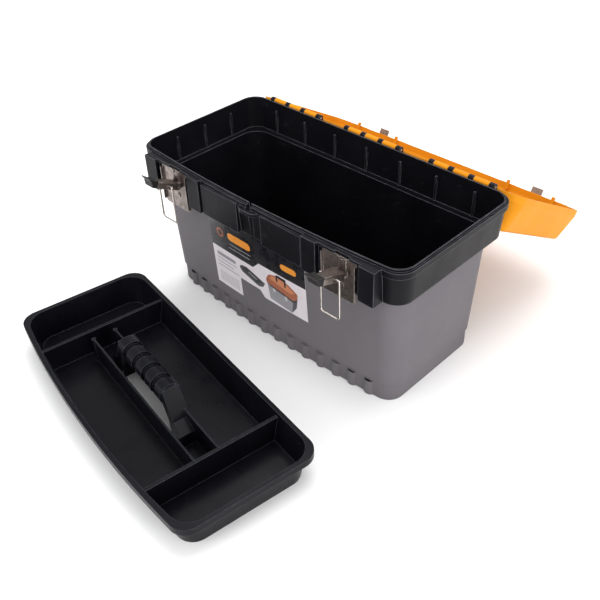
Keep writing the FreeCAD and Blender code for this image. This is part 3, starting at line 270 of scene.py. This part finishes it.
wears = {
    "base_shell": "box", "tray": "tray", "lid_shell": "lid", "lid_handle": "handle",
    "lever_cap_left": "cap", "lever_cap_right": "cap",
    "latch_lever_left": "latch", "latch_lever_right": "latch",
    "latch_plate_left": "latch", "latch_plate_right": "latch", "plate_rivets": "latch",
    "keeper_left": "keeper", "keeper_right": "keeper", "keeper_rivets": "keeper",
    "bail_left": "wire", "bail_right": "wire",
    "hinge_pin_left": "pin", "hinge_pin_middle": "pin", "hinge_pin_right": "pin",
    "handle_pins": "pin", "lever_pin_left": "pin", "lever_pin_right": "pin",
    "front_label": "white_ink",
}
for node, finish in wears.items():
    nodes[node].data.materials.clear()
    nodes[node].data.materials.append(finishes[finish].material)


# ---- printing on the label ------------------------------------------------------------------

def label_face():
    """A finder for the label's front face at a place given in X and Z."""
    mesh = nodes["front_label"].data
    points = [vertex.co.copy() for vertex in mesh.vertices]
    faces = [tuple(face.vertices) for face in mesh.polygons]
    tree = BVHTree.FromPolygons(points, faces)
    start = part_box("front_label")[0].y - 0.05

    def find(x, z):
        hit = tree.ray_cast(Vector((x, start, z)), Vector((0, 1, 0)))[0]
        return None if hit is None else hit.y
    return find


label_at = label_face()
low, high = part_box("front_label")
label_middle = (low + high) / 2


def print_patch(name, corners, finish, lift):
    """A thin printed patch, given by its corners in millimetres across the front."""
    shape = bmesh.new()
    shape.faces.new([shape.verts.new((x * MM, 0, z * MM)) for x, z in corners])
    left = min(x for x, z in corners)
    right = max(x for x, z in corners)
    cut_at = math.ceil(left / STRIP) * STRIP
    while cut_at < right:
        everything = shape.verts[:] + shape.edges[:] + shape.faces[:]
        bmesh.ops.bisect_plane(shape, geom=everything, plane_co=(cut_at * MM, 0, 0),
                               plane_no=(1, 0, 0))
        cut_at += STRIP
    bmesh.ops.triangulate(shape, faces=shape.faces[:])
    for vertex in shape.verts:
        inward = vertex.co.copy()
        depth = None
        share = 0.0
        while depth is None and share < PULL_LIMIT:
            inward = vertex.co.lerp(Vector((label_middle.x, 0, label_middle.z)), share)
            depth = label_at(inward.x, inward.z)
            share += PULL_STEP
        vertex.co.y = (low.y if depth is None else depth) - lift * MM
    for face in shape.faces:
        face.normal_update()
        if face.normal.y > 0:
            face.normal_flip()
    mesh = bpy.data.meshes.new(name)
    shape.to_mesh(mesh)
    shape.free()
    mesh.materials.append(finishes[finish].material)
    piece = bpy.data.objects.new(name, mesh)
    bpy.context.scene.collection.objects.link(piece)
    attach(piece, "base")
    return piece


def bar(x0, x1, z0, z1):
    return [(x0, z0), (x1, z0), (x1, z1), (x0, z1)]


def pill(x0, x1, z0, z1):
    """A bar with rounded ends."""
    radius = (z1 - z0) / 2
    middle = (z0 + z1) / 2
    ends = []
    for centre, start in ((x1 - radius, -90), (x0 + radius, 90)):
        for step in range(7):
            angle = math.radians(start + 30 * step)
            ends.append((centre + radius * math.cos(angle), middle + radius * math.sin(angle)))
    return ends


def ring(x, z, radius, sides):
    return [(x + radius * math.cos(math.radians(90 + 360 * k / sides)),
             z + radius * math.sin(math.radians(90 + 360 * k / sides))) for k in range(sides)]


prints = [
    ("print_band", [(-92.9, 98.5), (-18, 98.5), (-7, 109), (67.9, 108.6), (67.9, 150.8),
                    (-92.9, 150.8)], "black_ink", 0.05),
    ("print_badge", pill(-60, -19, 119, 130), "orange_ink", 0.10),
    ("print_badge_line", bar(-58, -20, 112.6, 113.8), "grey_ink", 0.10),
    ("print_badge_underline", bar(-60, -22, 106.6, 107.8), "grey_ink", 0.10),
    ("print_nut", ring(-74, 123, 7, 6), "rust_ink", 0.10),
    ("print_nut_hole", ring(-74, 123, 3.8, 24), "black_ink", 0.15),
    ("print_pill", pill(30, 55, 119.5, 128), "orange_ink", 0.10),
    ("print_tray", [(-43.5, 86), (-42.5, 89), (-38.7, 91), (-30.3, 92.2), (0.6, 82.8),
                    (-3.5, 75.6), (-11.7, 73), (-40, 81)], "dark_ink", 0.05),
    ("print_tray_hollow", [(-39.5, 86.4), (-30.6, 90.3), (-4.5, 82), (-13, 76.4)],
     "black_ink", 0.10),
    ("print_tray_rib", [(-29, 85.6), (-26.5, 86.8), (-12.5, 82.3), (-15, 81)], "grey_ink", 0.15),
    ("print_box", [(4.9, 88), (8, 65), (43.6, 61.4), (51.6, 72.8), (53.8, 87), (46.7, 80.6),
                   (31.6, 83.6), (10.6, 86.4)], "grey_ink", 0.05),
    ("print_box_end", [(43.6, 61.6), (51.4, 72.9), (53.6, 86.4), (46.4, 80.4)],
     "dark_ink", 0.10),
    ("print_box_rim", [(5.6, 87), (10.6, 84.4), (31.6, 81.2), (46.5, 78), (53.4, 84.2),
                       (53.6, 87), (46.7, 81.4), (31.6, 84.4), (10.6, 87.2)], "black_ink", 0.12),
    ("print_box_lid", [(4.2, 88), (3.6, 92.8), (8.6, 101.2), (21, 105.1), (33, 104.4),
                       (43.6, 100.2), (54.3, 94), (54, 86.6), (46.7, 81), (31.6, 83.8),
                       (10.6, 86.6)], "rust_ink", 0.14),
    ("print_box_roof", [(10, 95.8), (12.6, 100.6), (21.4, 103.2), (31, 102.2), (42, 98.4),
                        (50.4, 93.6), (44, 89.6), (30, 92.4)], "clay_ink", 0.18),
    ("print_box_latch_left", [(14, 84), (14, 79), (18, 78.2), (18, 83.4)], "pale_ink", 0.20),
    ("print_box_latch_right", [(33, 81.4), (33, 75.6), (37, 74.6), (37, 80.6)], "pale_ink", 0.20),
    ("print_box_grip", [(20.7, 97), (20.7, 105.6), (23.4, 107.2), (36.8, 106.4), (36.4, 94.6),
                        (33.8, 95), (34, 102.8), (23.6, 103.8), (23.2, 96.6)], "black_ink", 0.22),
]
for index, (start, end) in enumerate(((-86, -51), (-88, -50), (-88, -56), (-88, -47))):
    heading = index == 0
    top = 90.6 - 5.6 * index - (0.0 if heading else 3.4)
    height = 5.4 if heading else 1.3
    name = "print_row_" + str(index)
    prints.append((name, bar(start, end, top - height, top), "grey_ink", 0.05))
for index in range(12):
    start = -86 + 3.1 * index
    prints.append(("print_block_" + str(index), bar(start, start + 2.2, 45, 61), "pale_ink", 0.05))
for print_job in prints:
    print_patch(*print_job)


# ---- floor, light and camera ----------------------------------------------------------------

def build_floor():
    mesh = bpy.data.meshes.new("floor")
    half = 6.0
    mesh.from_pydata([(-half, -half, -0.0004), (half, -half, -0.0004), (half, half, -0.0004),
                      (-half, half, -0.0004)], [], [(0, 1, 2, 3)])
    floor = bpy.data.objects.new("floor", mesh)
    bpy.context.scene.collection.objects.link(floor)
    made = Finish("floor_paper")
    made.link(made.mix(made.noise(3, 2), rgb(0.93, 0.93, 0.93), rgb(0.96, 0.96, 0.96)),
              made.shader.inputs["Base Color"])
    made.set(Roughness=0.9)
    floor.data.materials.append(made.material)


def soft_light(name, place, aim, size, power, tint=(1.0, 1.0, 1.0)):
    lamp = bpy.data.lights.new(name, "AREA")
    lamp.shape = "SQUARE"
    lamp.size = size
    lamp.energy = power
    lamp.color = tint
    piece = bpy.data.objects.new(name, lamp)
    piece.location = place
    piece.rotation_euler = (Vector(aim) - Vector(place)).to_track_quat("-Z", "Y").to_euler()
    bpy.context.scene.collection.objects.link(piece)


def build_light():
    world = bpy.data.worlds.new("studio")
    world.use_nodes = True
    world.node_tree.nodes["Background"].inputs["Color"].default_value = rgb(1.0, 1.0, 1.0)
    world.node_tree.nodes["Background"].inputs["Strength"].default_value = 0.95
    bpy.context.scene.world = world
    soft_light("overhead", (-0.2, 0.5, 2.0), (0.0, 0.0, 0.0), 1.6, 30)
    soft_light("right_side", (2.0, -0.3, 0.7), (0.0, 0.0, 0.1), 1.2, 20)
    soft_light("front", (-0.3, -2.0, 1.0), (0.0, 0.0, 0.1), 1.4, 14)


def build_camera():
    """Above the right front corner, looking down across the box."""
    turn = math.radians(45.805)
    rise = math.radians(38.435)
    roll = math.radians(-2.195)
    back = Vector((math.sin(turn) * math.cos(rise), -math.cos(turn) * math.cos(rise),
                   math.sin(rise)))
    right = Vector((math.cos(turn), math.sin(turn), 0.0))
    up = back.cross(right)
    side = right * math.cos(roll) + up * math.sin(roll)
    top = up * math.cos(roll) - right * math.sin(roll)
    lens = bpy.data.cameras.new("camera")
    lens.sensor_width = 36.0
    lens.lens = 47.0
    lens.clip_start = 0.01
    camera = bpy.data.objects.new("camera", lens)
    pose = Matrix((side, top, back)).transposed().to_4x4()
    pose.translation = Vector((0.55536, -0.57279, 0.63944))
    camera.matrix_world = pose
    bpy.context.scene.collection.objects.link(camera)
    bpy.context.scene.camera = camera


build_floor()
build_light()
build_camera()
bpy.context.scene.view_settings.view_transform = "Standard"
